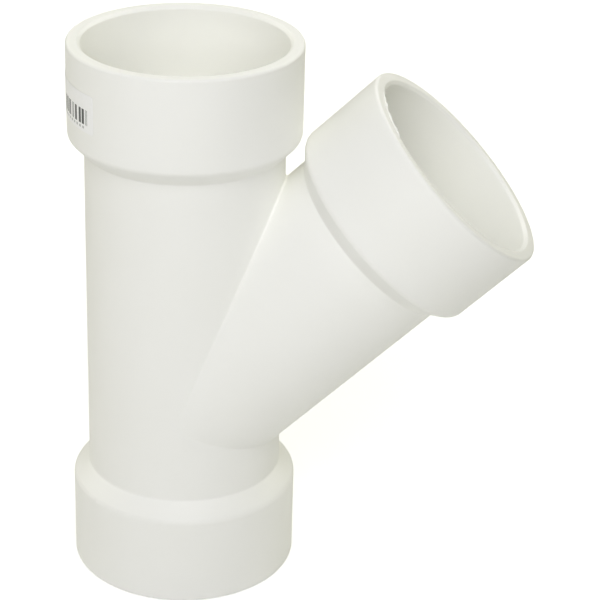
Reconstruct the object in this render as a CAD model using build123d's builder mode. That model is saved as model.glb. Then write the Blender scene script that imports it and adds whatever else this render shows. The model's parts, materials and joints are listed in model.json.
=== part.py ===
from build123d import *
import math
import os

# A moulded PVC drainage wye: a straight run with a socket hub at each end, and a branch of the same
# size that leaves it at 45 degrees and ends in a third hub. Lengths are in millimetres, angles in
# degrees. The run stands on the Z axis, its bottom rim lies on Z = 0, and the branch leans towards +X.

# The pipe that the sockets take, and the sockets
pipe_diameter = 88.9  # outside diameter of the nominal 3 inch pipe
socket_clearance = 0.1  # gap all round between the pipe and the socket wall
socket_depth = 38.1  # from the rim to the stop that the pipe's end meets
stop_width = 6.35  # how far the stop stands in from the socket wall
hub_wall = 6.25  # wall of the hub round its socket
mouth_chamfer = 1.4  # lead-in on the inner edge of the rim
rim_chamfer = 0.8  # on the outer edge of the rim

# The hub's shoulder, where it steps down to the tube
stop_land = 3.4  # straight outside of the hub past the stop
shoulder_angle = 45  # slope of the cone, from the axis
shoulder_round = 4.0  # round on the corner between the straight outside and the cone

# The tubes between the hubs
tube_wall = 5.5
branch_step = 0.3  # the branch is this much smaller in radius, so its sides run out inside the run's

# The junction: the angle, and the plain tube left between its seam and each hub's shoulder
branch_angle = 45  # between the two axes
tube_below = 16.3  # on the run, under the seam's lower end
tube_above = 13.0  # on the run, over the seam's sharp upper end
tube_beyond = 12.1  # on the branch, past the same sharp end

# Rounds along the two seams of the junction
crotch_round = 0.8  # outside, in the corners between the tubes
waterway_round = 1.5  # inside, on the edges where the bores meet

# The price label, a stick-on film wrapped round the left side of the top hub
label_height = 17.0
label_width = 38.0  # along the curve
label_thickness = 0.12
label_corner = 1.2
label_below_rim = 14.0  # from the rim to the label's upper edge
label_angle = 209.0  # direction that the label's middle faces, from +X

socket_radius = pipe_diameter / 2 + socket_clearance
hub_radius = socket_radius + hub_wall
hub_straight = socket_depth + stop_land
bore_radius = socket_radius - stop_width
run_radius = bore_radius + tube_wall
branch_bore = bore_radius - branch_step
branch_radius = run_radius - branch_step


def hub_depth(tube_radius):
    """From a rim to the place where the shoulder has come down to the tube."""
    return hub_straight + (hub_radius - tube_radius) / math.tan(math.radians(shoulder_angle))


# Where the tubes' walls meet in the plane of both axes, counted from the crossing of the axes
lean = math.radians(branch_angle)
seam_top = run_radius / math.tan(lean) + branch_radius / math.sin(lean)  # up the run
seam_bottom = run_radius / math.tan(lean) - branch_radius / math.sin(lean)  # up the run, so below 0
seam_out = run_radius / math.sin(lean) + branch_radius / math.tan(lean)  # along the branch

branch_height = hub_depth(run_radius) + tube_below - seam_bottom  # of the crossing, over the bottom rim
run_length = branch_height + seam_top + tube_above + hub_depth(run_radius)  # from rim to rim
branch_length = seam_out + tube_beyond + hub_depth(branch_radius)  # from the crossing to the rim

# The branch's axis, and a section plane that holds it: X is the radius and Y runs along the axis.
branch_direction = Vector(math.sin(lean), 0, math.cos(lean))
crossing = Vector(0, 0, branch_height)
branch_axis = Axis(crossing, branch_direction)
branch_section = Plane(crossing, x_dir=(math.cos(lean), 0, -math.sin(lean)), z_dir=(0, -1, 0))


def hub_outline(tube_radius, rim):
    """The outside of a hub, from the tube to the rim at the end of its axis."""
    return [
        (tube_radius, rim - hub_depth(tube_radius)),
        (hub_radius, rim - hub_straight),
        (hub_radius, rim - rim_chamfer),
        (hub_radius - rim_chamfer, rim),
    ]


def socket_outline(tube_bore, rim):
    """The inside of the same hub: the waterway's end, the stop, the socket wall and the lead-in."""
    return [
        (tube_bore, rim - socket_depth),
        (socket_radius, rim - socket_depth),
        (socket_radius, rim - mouth_chamfer),
        (socket_radius + mouth_chamfer, rim),
    ]


def other_end(outline):
    """The same outline at the bottom of the run."""
    return [(radius, run_length - height) for radius, height in reversed(outline)]


def closed_on_axis(outline):
    """Joins both ends of an outline to the axis."""
    return [(0, outline[0][1]), *outline, (0, outline[-1][1])]


def outer_corners(section):
    """The outermost corners of a half section, in order along its axis."""
    return section.vertices().group_by(Axis.X)[-1].sort_by(Axis.Y)


def seam(edges):
    """Of these edges, the ones along which two tubes cross: neither round nor straight."""
    return edges.filter_by(lambda edge: edge.geom_type not in (GeomType.CIRCLE, GeomType.LINE))


with BuildPart() as wye_body:
    # Outside of the run: both hubs and the tube between them, in one turn
    run_hub = hub_outline(run_radius, run_length)
    with BuildSketch(Plane.XZ) as run_outside:
        with BuildLine():
            Polyline(*closed_on_axis(other_end(run_hub) + run_hub), close=True)
        make_face()
        fillet(outer_corners(run_outside)[1:3], shoulder_round)
    revolve(axis=Axis.Z)

    # Outside of the branch, from the crossing of the axes to its rim
    branch_hub = hub_outline(branch_radius, branch_length)
    with BuildSketch(branch_section) as branch_outside:
        with BuildLine():
            Polyline(*closed_on_axis([(branch_radius, 0), *branch_hub]), close=True)
        make_face()
        fillet(outer_corners(branch_outside)[0], shoulder_round)
    revolve(axis=branch_axis)

    # The crotch round follows the seam between the tubes, and fades out at both sides.
    fillet(seam(wye_body.edges()), crotch_round)

    # Waterway and sockets of the run
    run_socket = socket_outline(bore_radius, run_length)
    with BuildSketch(Plane.XZ):
        with BuildLine():
            Polyline(*closed_on_axis(other_end(run_socket) + run_socket), close=True)
        make_face()
    revolve(axis=Axis.Z, mode=Mode.SUBTRACT)

    # Waterway and socket of the branch
    branch_socket = socket_outline(branch_bore, branch_length)
    with BuildSketch(branch_section):
        with BuildLine():
            Polyline(*closed_on_axis([(branch_bore, 0), *branch_socket]), close=True)
        make_face()
    revolve(axis=branch_axis, mode=Mode.SUBTRACT)
    fillet(seam(wye_body.edges(Select.LAST)), waterway_round)

# The label's outline follows the hub's outside, seen from above, and is raised to its height.
label_span = math.degrees(label_width / hub_radius)
label_start = label_angle - label_span / 2
with BuildPart() as barcode_label:
    with BuildSketch(Plane.XY.offset(run_length - label_below_rim - label_height)):
        with BuildLine():
            back = CenterArc((0, 0), hub_radius, label_start, label_span)
            face = CenterArc((0, 0), hub_radius + label_thickness, label_start, label_span)
            Line(back @ 0, face @ 0)
            Line(back @ 1, face @ 1)
        make_face()
    extrude(amount=label_height)
    short_edges = barcode_label.edges().filter_by(lambda edge: edge.length < 2 * label_thickness)
    fillet(short_edges, label_corner)

wye_body.part.label = "wye_body"
barcode_label.part.label = "barcode_label"

os.makedirs("parts", exist_ok=True)
export_step(wye_body.part, "parts/wye_body.step")
export_step(barcode_label.part, "parts/barcode_label.step")
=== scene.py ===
import json
import math

import bmesh
import bpy
from mathutils import Matrix, Vector, noise


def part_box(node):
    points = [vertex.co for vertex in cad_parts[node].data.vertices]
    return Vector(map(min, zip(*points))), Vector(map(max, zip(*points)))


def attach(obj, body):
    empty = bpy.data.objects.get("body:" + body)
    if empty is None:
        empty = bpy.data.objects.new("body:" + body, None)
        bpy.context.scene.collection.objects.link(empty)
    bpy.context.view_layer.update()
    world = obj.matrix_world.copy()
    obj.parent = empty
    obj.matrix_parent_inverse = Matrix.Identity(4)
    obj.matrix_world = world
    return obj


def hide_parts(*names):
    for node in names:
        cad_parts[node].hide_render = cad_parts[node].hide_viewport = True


# A moulded white PVC wye fitting with a price label on its top hub, on a pale floor in soft light. The packed
# model gives the sizes and places. Lengths are in metres, and MM turns millimetres to metres.

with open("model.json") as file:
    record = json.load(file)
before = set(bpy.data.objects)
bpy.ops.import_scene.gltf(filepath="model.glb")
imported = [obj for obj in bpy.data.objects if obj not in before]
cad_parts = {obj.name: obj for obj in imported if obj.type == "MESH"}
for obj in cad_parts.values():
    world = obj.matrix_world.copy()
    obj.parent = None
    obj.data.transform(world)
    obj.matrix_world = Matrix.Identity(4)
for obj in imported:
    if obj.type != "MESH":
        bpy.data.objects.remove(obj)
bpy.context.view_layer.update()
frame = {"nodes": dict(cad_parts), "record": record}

MM = 0.001

# Places on the part, read from the frame
mounts = {mount["name"]: mount for mount in frame["record"]["mounts"]}
body_low, body_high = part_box("wye_body")
label_low, label_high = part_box("barcode_label")
hub_radius = -body_low.x
label_right_edge = math.atan2(label_low.y, label_high.x)
label_turn = label_right_edge - math.atan2(label_high.y, label_low.x)
label_width = label_turn * hub_radius
socket_radius = mounts["branch_socket"]["dims"]["r_mm"] * MM
socket_depth = mounts["run_bottom_socket"]["pos_m"][2]
rims = {}  # middle of each rim, and the direction out of its socket
for name in ("run_bottom_socket", "run_top_socket", "branch_socket"):
    outward = Vector(mounts[name]["axis"])
    rims[name] = (Vector(mounts[name]["pos_m"]) + outward * socket_depth, outward)
branch_rim, branch_axis = rims["branch_socket"]
middle = (body_low + body_high) / 2

# Rounds that the mould leaves: on both edges of each lead-in, which stays a short cone between them, and on
# the other hard edges of the rims, stops and shoulders
MOUTH_ROUND = 0.4 * MM
MOUTH_STEPS = 4
MOUTH_REACH = 2.0 * MM  # a lead-in's edges lie this near to the circle where rim and socket wall would meet
EDGE_ROUND = 0.5 * MM
EDGE_STEPS = 4
HUB_REACH = 52 * MM  # from a rim to just past the shoulder's foot, and short of the junction
HARD_EDGE = math.radians(35)  # faces that meet at more than this have a hard edge between them
SAME_PLANE = math.radians(0.5)  # triangles that meet at less than this make one face
SAME_POINT = 0.002 * MM  # corners nearer than this are joined

# Flash: a thin ragged lip that the mould left on the inner edge of the branch's mouth. Its profile's corners
# are in mm: out from the socket wall, and over the rim.
FLASH_START = math.radians(182)  # round the branch's axis, from its lower side and then away from the camera
FLASH_TURN = math.radians(44)  # from its start to its end
FLASH_STEPS = 90
FLASH_PROFILE = ((1.9, -0.4), (1.5, 0.75), (1.0, 0.8), (0.6, -1.4))
FLASH_ROOT = (1.4, -0.5)  # the lip thins out towards this point
FLASH_THICK = 0.75  # of the whole profile, on average
FLASH_WAVES = 9.0  # thicker and thinner places along it
FLASH_WAVE_DEPTH = 0.5
FLASH_NICKS = 5  # in each wave
FLASH_NICK_DEPTH = 0.3
FLASH_NICK_ROW = 3.0  # the noise is read here for the nicks, and at 0 for the waves
FLASH_THINNEST = 0.15
FLASH_TAPER = 8.0  # each end runs out over one part in this many of its length

# Floor: the white that the camera sees grows with the distance from the part, so that the shadow stays
FLOOR_PALE = "#F0F0EF"
FLOOR_HALF_WIDTH = 4.0
FLOOR_NEAR = 0.25
FLOOR_FAR = 1.2
FLOOR_LIFT = 0.36  # added white up to the near distance. From the far one on it is 1.

# Even light from all round, and how often light goes on between white walls, so that the sockets stay bright
WORLD_LEVEL = 0.02
BOUNCES = 12

# Camera, found by laying the outline over the photograph
LENS = 127.7  # mm, on the usual 36 mm sensor
CAMERA_AZIMUTH = 5.44
CAMERA_ELEVATION = 25.89
CAMERA_ROLL = 1.66
CAMERA_DISTANCE = 0.9457
CAMERA_TARGET = Vector((51.7, 0, 130.8)) * MM


def linear(hex_colour):
    """An sRGB hex colour as the linear RGBA that shaders take."""
    parts = [int(hex_colour[i:i + 2], 16) / 255 for i in (1, 3, 5)]
    return tuple(c / 12.92 if c <= 0.04045 else ((c + 0.055) / 1.055) ** 2.4 for c in parts) + (1.0,)


def add_node(tree, kind, inputs, **settings):
    """Adds one node with its settings. Each input is a value, or another node's output to link."""
    made = tree.nodes.new(kind)
    for name, value in settings.items():
        setattr(made, name, value)
    for socket, value in inputs.items():
        if isinstance(value, bpy.types.NodeSocket):
            tree.links.new(value, made.inputs[socket])
        else:
            made.inputs[socket].default_value = value
    return made


def new_material(name):
    """A new material, its nodes, and its Principled shader."""
    made = bpy.data.materials.new(name)
    made.use_nodes = True
    return made, made.node_tree, made.node_tree.nodes["Principled BSDF"]


def direction(azimuth, elevation):
    """From the middle of the scene towards a place seen at these angles. Azimuth 0 is the front, -Y."""
    a, e = math.radians(azimuth), math.radians(elevation)
    return Vector((math.sin(a) * math.cos(e), -math.cos(a) * math.cos(e), math.sin(e)))


# PVC, injection moulded: a warm white that is the same through the wall, with a satin gloss from
# the polished mould. The eye gets faint clouds in the white, and soft, slightly wavy reflections.
PVC_WHITE = "#F5F5F2"
PVC_CLOUD = "#F3F3EE"
PVC_CLOUD_SIZE = 45 * MM
PVC_ROUGH_LOW = 0.44
PVC_ROUGH_HIGH = 0.52
PVC_WAVE_SIZE = 14 * MM
PVC_WAVE_DEPTH = 0.06 * MM
PVC_GRAIN_SIZE = 0.9 * MM
PVC_GRAIN_DEPTH = 0.004 * MM
PVC_IOR = 1.53
NOISE_LOW = 0.3  # nearly all of what a noise node gives lies between these two
NOISE_HIGH = 0.7


def speckle(tree, place, size, detail):
    """A noise whose features are about this size, as a node's output."""
    inputs = {"Vector": place, "Scale": 1 / size, "Detail": detail}
    return add_node(tree, "ShaderNodeTexNoise", inputs).outputs["Fac"]


def moulded_pvc():
    """The fitting's material."""
    made, tree, shader = new_material("moulded_white_pvc")
    place = add_node(tree, "ShaderNodeTexCoord", {}).outputs["Object"]
    clouds = speckle(tree, place, PVC_CLOUD_SIZE, 3.0)
    colour = add_node(tree, "ShaderNodeMix", {
        "Factor": clouds, "A": linear(PVC_WHITE), "B": linear(PVC_CLOUD)}, data_type="RGBA")
    gloss = add_node(tree, "ShaderNodeMapRange", {
        "Value": clouds, "From Min": NOISE_LOW, "From Max": NOISE_HIGH,
        "To Min": PVC_ROUGH_LOW, "To Max": PVC_ROUGH_HIGH})
    wavy = add_node(tree, "ShaderNodeBump", {
        "Height": speckle(tree, place, PVC_WAVE_SIZE, 1.0), "Strength": 1.0, "Distance": PVC_WAVE_DEPTH})
    grained = add_node(tree, "ShaderNodeBump", {
        "Height": speckle(tree, place, PVC_GRAIN_SIZE, 2.0), "Strength": 1.0, "Distance": PVC_GRAIN_DEPTH,
        "Normal": wavy.outputs["Normal"]})
    tree.links.new(colour.outputs["Result"], shader.inputs["Base Color"])
    tree.links.new(gloss.outputs["Result"], shader.inputs["Roughness"])
    tree.links.new(grained.outputs["Normal"], shader.inputs["Normal"])
    shader.inputs["IOR"].default_value = PVC_IOR
    return made


# Coated label paper, printed in black: whiter and cooler than the PVC, with a dull, even surface.
LABEL_WHITE = "#F9F9F9"
LABEL_MOTTLE = "#F4F4F3"
LABEL_INK = "#565857"
PAPER_MOTTLE_SIZE = 1.5 * MM
PAPER_ROUGH = 0.42
INK_ROUGH = 0.6
BARS_BOTTOM = 3.3 * MM  # over the label's lower edge
BARS_TOP = 10.0 * MM
TICKS_BOTTOM = 1.4 * MM
TICKS_TOP = 2.5 * MM
# Place and width of each plain bar, in mm along the curve from the label's right edge
BARS = ((3.9, 0.3), (4.9, 0.3), (6.1, 1.8), (8.7, 1.8), (12.2, 1.9), (15.6, 0.5), (16.6, 0.4),
        (19.0, 1.2), (20.8, 0.9), (23.0, 1.4), (25.7, 1.4), (28.6, 0.5), (31.2, 1.2), (33.6, 0.5))
TICK_SPACING = 2.6 * MM
TICK_SHARE = 0.5  # of that spacing, printed
TICK_SHIFT = 0.54  # of that spacing, so that the first tick stands under the bars
TICK_INK = 0.5  # printed thinner than the bars
TICKS_MARGIN = 6.0 * MM  # left bare at both ends of the row


def band(tree, value, low, high):
    """1 where a value lies between two limits and 0 elsewhere, as a node's output."""
    inputs = {0: value, 1: (low + high) / 2, 2: (high - low) / 2}
    return add_node(tree, "ShaderNodeMath", inputs, operation="COMPARE").outputs[0]


def printed_label():
    """The label's material."""
    made, tree, shader = new_material("coated_label_paper")
    place = add_node(tree, "ShaderNodeTexCoord", {}).outputs["Object"]
    split = add_node(tree, "ShaderNodeSeparateXYZ", {0: place})

    # Where a point lies on the label: 0 to 1 along the curve, from its right edge, and its height
    turn = add_node(tree, "ShaderNodeMath", {
        0: split.outputs["Y"], 1: split.outputs["X"]}, operation="ARCTAN2")
    along = add_node(tree, "ShaderNodeMapRange", {
        "Value": turn.outputs[0], "From Min": label_right_edge,
        "From Max": label_right_edge - label_turn}).outputs["Result"]
    height = split.outputs["Z"]

    # Bars: black and white stops along the curve, kept between two heights
    bars = add_node(tree, "ShaderNodeValToRGB", {"Fac": along})
    bars.color_ramp.interpolation = "CONSTANT"
    for place_mm, width_mm in BARS:
        bars.color_ramp.elements.new(place_mm * MM / label_width).color = (1, 1, 1, 1)
        bars.color_ramp.elements.new((place_mm + width_mm) * MM / label_width).color = (0, 0, 0, 1)
    bars.color_ramp.elements[-1].color = (0, 0, 0, 1)
    bar_row = band(tree, height, label_low.z + BARS_BOTTOM, label_low.z + BARS_TOP)
    bar_ink = add_node(tree, "ShaderNodeMath", {0: bars.outputs["Color"], 1: bar_row}, operation="MULTIPLY")

    # Ticks: a plain even row under the bars, in thinner ink
    steps = add_node(tree, "ShaderNodeMath", {
        0: along, 1: label_width / TICK_SPACING, 2: TICK_SHIFT}, operation="MULTIPLY_ADD")
    part = add_node(tree, "ShaderNodeMath", {0: steps.outputs[0]}, operation="FRACT")
    ticks = add_node(tree, "ShaderNodeMath", {0: part.outputs[0], 1: TICK_SHARE}, operation="LESS_THAN")
    tick_row = band(tree, height, label_low.z + TICKS_BOTTOM, label_low.z + TICKS_TOP)
    under_bars = band(tree, along, TICKS_MARGIN / label_width, 1 - TICKS_MARGIN / label_width)
    tick_area = add_node(tree, "ShaderNodeMath", {0: tick_row, 1: under_bars}, operation="MULTIPLY")
    tick_ink = add_node(tree, "ShaderNodeMath", {0: ticks.outputs[0], 1: TICK_INK}, operation="MULTIPLY")
    ink = add_node(tree, "ShaderNodeMath", {
        0: tick_ink.outputs[0], 1: tick_area.outputs[0], 2: bar_ink.outputs[0]}, operation="MULTIPLY_ADD")

    # Paper: a faint mottle in the coating, and ink that is duller than the coating
    mottle = speckle(tree, place, PAPER_MOTTLE_SIZE, 3.0)
    paper = add_node(tree, "ShaderNodeMix", {
        "Factor": mottle, "A": linear(LABEL_WHITE), "B": linear(LABEL_MOTTLE)}, data_type="RGBA")
    printed = add_node(tree, "ShaderNodeMix", {
        "Factor": ink.outputs[0], "A": paper.outputs["Result"], "B": linear(LABEL_INK)}, data_type="RGBA")
    dull = add_node(tree, "ShaderNodeMapRange", {
        "Value": ink.outputs[0], "To Min": PAPER_ROUGH, "To Max": INK_ROUGH})
    tree.links.new(printed.outputs["Result"], shader.inputs["Base Color"])
    tree.links.new(dull.outputs["Result"], shader.inputs["Roughness"])
    return made


def softbox(name, azimuth, elevation, power, colour="#FFFFFF", size=0.9, distance=1.2):
    """A square soft light that faces the middle of the part."""
    data = bpy.data.lights.new(name, "AREA")
    data.shape = "SQUARE"
    data.size = size
    data.energy = power
    data.color = linear(colour)[:3]
    lamp = bpy.data.objects.new(name, data)
    bpy.context.scene.collection.objects.link(lamp)
    away = direction(azimuth, elevation)
    lamp.location = middle + away * distance
    lamp.rotation_mode = "QUATERNION"
    lamp.rotation_quaternion = (-away).to_track_quat("-Z", "Y")


def smooth_piece(name, bm, material, stands_for):
    """A finished piece that rides on the part, smooth-shaded, with its wide faces kept flat."""
    for face in bm.faces:
        face.smooth = True
    mesh = bpy.data.meshes.new(name)
    bm.to_mesh(mesh)
    bm.free()
    mesh.materials.append(material)
    piece = bpy.data.objects.new(name, mesh)
    bpy.context.scene.collection.objects.link(piece)
    piece.modifiers.new("flat_faces_stay_flat", "WEIGHTED_NORMAL")
    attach(piece, "root")
    if stands_for:
        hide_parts(stands_for)


def joined_copy(node):
    """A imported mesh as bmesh, with its triangles' corners joined up."""
    bm = bmesh.new()
    bm.from_mesh(frame["nodes"][node].data)
    bmesh.ops.remove_doubles(bm, verts=bm.verts, dist=SAME_POINT)
    return bm


def place_on_hub(place):
    """Height over the rim and distance from the axis, for a place on one of the hubs. None elsewhere."""
    for rim, outward in rims.values():
        height = (place - rim).dot(outward)
        radius = (place - rim - outward * height).length
        if -HUB_REACH < height < MM and radius < hub_radius + MM:
            return height, radius
    return None


def at_a_mouth(edge):
    """Whether an edge of a hub runs round the mouth of its socket, along the lead-in."""
    height, radius = place_on_hub(edge.verts[0].co)
    return abs(height) < MOUTH_REACH and abs(radius - socket_radius) < MOUTH_REACH


def hub_edges(bm):
    """The edges that lie on the hubs with both ends."""
    return [edge for edge in bm.edges if all(place_on_hub(vert.co) for vert in edge.verts)]


def eased_body(material):
    """The moulding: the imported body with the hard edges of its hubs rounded."""
    bm = joined_copy("wye_body")
    bmesh.ops.dissolve_limit(bm, verts=[], edges=hub_edges(bm), angle_limit=SAME_PLANE)
    for mouths, offset, steps in ((True, MOUTH_ROUND, MOUTH_STEPS), (False, EDGE_ROUND, EDGE_STEPS)):
        hard = [edge for edge in hub_edges(bm)
                if edge.calc_face_angle(0) > HARD_EDGE and at_a_mouth(edge) == mouths]
        bmesh.ops.bevel(bm, geom=hard, affect="EDGES", offset=offset, segments=steps, profile=0.5,
                        material=-1, clamp_overlap=True)
    smooth_piece("fitting_body", bm, material, "wye_body")


def pasted_label(material):
    """The label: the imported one, joined up so that it shades as one curved film."""
    smooth_piece("price_label", joined_copy("barcode_label"), material, "barcode_label")


def flash_share(share):
    """How much of its profile the lip has, at this share of its length."""
    wave = noise.noise(Vector((share * FLASH_WAVES, 0, 0)))
    nick = noise.noise(Vector((share * FLASH_WAVES * FLASH_NICKS, FLASH_NICK_ROW, 0)))
    ragged = FLASH_THICK + FLASH_WAVE_DEPTH * wave + FLASH_NICK_DEPTH * nick
    return min(1.0, FLASH_TAPER * share, FLASH_TAPER * (1 - share)) * max(FLASH_THINNEST, ragged)


def mouth_flash(material):
    """The ragged lip: a small profile turned round the branch's mouth, thicker and thinner by a noise."""
    out = (Vector((0, 0, -1)) - branch_axis * -branch_axis.z).normalized()
    root = out * (socket_radius + FLASH_ROOT[0] * MM) + branch_axis * FLASH_ROOT[1] * MM
    start = Matrix.Rotation(FLASH_START, 3, branch_axis)
    bm = bmesh.new()
    corners = [bm.verts.new(branch_rim + out * (socket_radius + radius * MM) + branch_axis * height * MM)
               for radius, height in FLASH_PROFILE]
    loop = [bm.edges.new((a, b)) for a, b in zip(corners, corners[1:] + corners[:1])]
    bmesh.ops.rotate(bm, cent=branch_rim, matrix=start, verts=corners)
    bmesh.ops.spin(bm, geom=corners + loop, cent=branch_rim, axis=branch_axis,
                   angle=FLASH_TURN, steps=FLASH_STEPS, use_duplicate=False)

    # Each corner moves towards the root beside it, which is the first root turned as far as the corner is.
    first = start @ root
    first_spoke = first - branch_axis * first.dot(branch_axis)
    for vert in bm.verts:
        spoke = vert.co - branch_rim
        spoke -= branch_axis * spoke.dot(branch_axis)
        turned = spoke.angle(first_spoke)
        here = branch_rim + Matrix.Rotation(turned, 3, branch_axis) @ first
        vert.co = here + (vert.co - here) * flash_share(turned / FLASH_TURN)
    bmesh.ops.remove_doubles(bm, verts=bm.verts, dist=SAME_POINT)
    bmesh.ops.recalc_face_normals(bm, faces=bm.faces)
    smooth_piece("mouth_flash", bm, material, None)


def floor():
    """A pale floor. The camera sees it as white away from the part, and sees through it from below."""
    bm = bmesh.new()
    bmesh.ops.create_grid(bm, x_segments=1, y_segments=1, size=FLOOR_HALF_WIDTH)
    mesh = bpy.data.meshes.new("floor")
    bm.to_mesh(mesh)
    bm.free()
    made = bpy.data.materials.new("pale_floor")
    made.use_nodes = True
    tree = made.node_tree
    tree.nodes.clear()
    ray = add_node(tree, "ShaderNodeLightPath", {})
    place = add_node(tree, "ShaderNodeTexCoord", {})
    away = add_node(tree, "ShaderNodeVectorMath", {0: place.outputs["Object"]}, operation="LENGTH")
    lift = add_node(tree, "ShaderNodeMapRange", {
        "Value": away.outputs["Value"], "From Min": FLOOR_NEAR, "From Max": FLOOR_FAR,
        "To Min": FLOOR_LIFT, "To Max": 1.0})
    seen = add_node(tree, "ShaderNodeMath", {
        0: ray.outputs["Is Camera Ray"], 1: lift.outputs["Result"]}, operation="MULTIPLY")
    glow = add_node(tree, "ShaderNodeEmission", {"Color": (1, 1, 1, 1), "Strength": seen.outputs["Value"]})
    pale = add_node(tree, "ShaderNodeBsdfDiffuse", {"Color": linear(FLOOR_PALE)})
    lit = add_node(tree, "ShaderNodeAddShader", {0: pale.outputs["BSDF"], 1: glow.outputs["Emission"]})
    side = add_node(tree, "ShaderNodeNewGeometry", {})
    below = add_node(tree, "ShaderNodeMath", {
        0: ray.outputs["Is Camera Ray"], 1: side.outputs["Backfacing"]}, operation="MULTIPLY")
    clear = add_node(tree, "ShaderNodeBsdfTransparent", {})
    both = add_node(tree, "ShaderNodeMixShader", {
        0: below.outputs["Value"], 1: lit.outputs["Shader"], 2: clear.outputs["BSDF"]})
    add_node(tree, "ShaderNodeOutputMaterial", {"Surface": both.outputs["Shader"]})
    mesh.materials.append(made)
    ground = bpy.data.objects.new("floor", mesh)
    bpy.context.scene.collection.objects.link(ground)


def world_light(strength):
    """Even light from all round. The camera sees it as plain white."""
    world = bpy.data.worlds.new("studio")
    bpy.context.scene.world = world
    world.use_nodes = True
    tree = world.node_tree
    ray = add_node(tree, "ShaderNodeLightPath", {})
    level = add_node(tree, "ShaderNodeMapRange", {
        "Value": ray.outputs["Is Camera Ray"], "To Min": strength, "To Max": 1.0})
    tree.nodes["Background"].inputs["Color"].default_value = (1, 1, 1, 1)
    tree.links.new(level.outputs["Result"], tree.nodes["Background"].inputs["Strength"])


def camera():
    """The camera that took the photograph."""
    back = direction(CAMERA_AZIMUTH, CAMERA_ELEVATION)
    data = bpy.data.cameras.new("camera")
    data.lens = LENS
    data.sensor_width = 36
    data.clip_start = 0.01
    data.clip_end = 20
    made = bpy.data.objects.new("camera", data)
    bpy.context.scene.collection.objects.link(made)
    level = (-back).to_track_quat("-Z", "Y").to_matrix().to_4x4()
    roll = Matrix.Rotation(math.radians(CAMERA_ROLL), 4, "Z")
    made.matrix_world = Matrix.Translation(CAMERA_TARGET + back * CAMERA_DISTANCE) @ level @ roll
    bpy.context.scene.camera = made


camera()
pvc = moulded_pvc()
eased_body(pvc)
mouth_flash(pvc)
pasted_label(printed_label())
floor()

# Lamps by azimuth, elevation and watts. Those at the sides and the back give the shadows their faint yellow.
world_light(WORLD_LEVEL)
softbox("key", 5, 35, 8.2)
softbox("front_top", 5, 60, 2.8)
softbox("left_front", -60, 35, 1.4)
softbox("left_side", -100, 15, 2.7, "#FFFCEC")
softbox("back_left", -140, 35, 4.4, "#FFFFEE")
softbox("back_right", 140, 35, 3.4, "#FFFEE8")
softbox("right_side", 120, 10, 1.6, "#FFFFDD")
softbox("back_near", 150, 55, 0.64, size=0.4, distance=0.5)
bpy.context.scene.view_settings.view_transform = "Standard"
bpy.context.scene.cycles.diffuse_bounces = BOUNCES
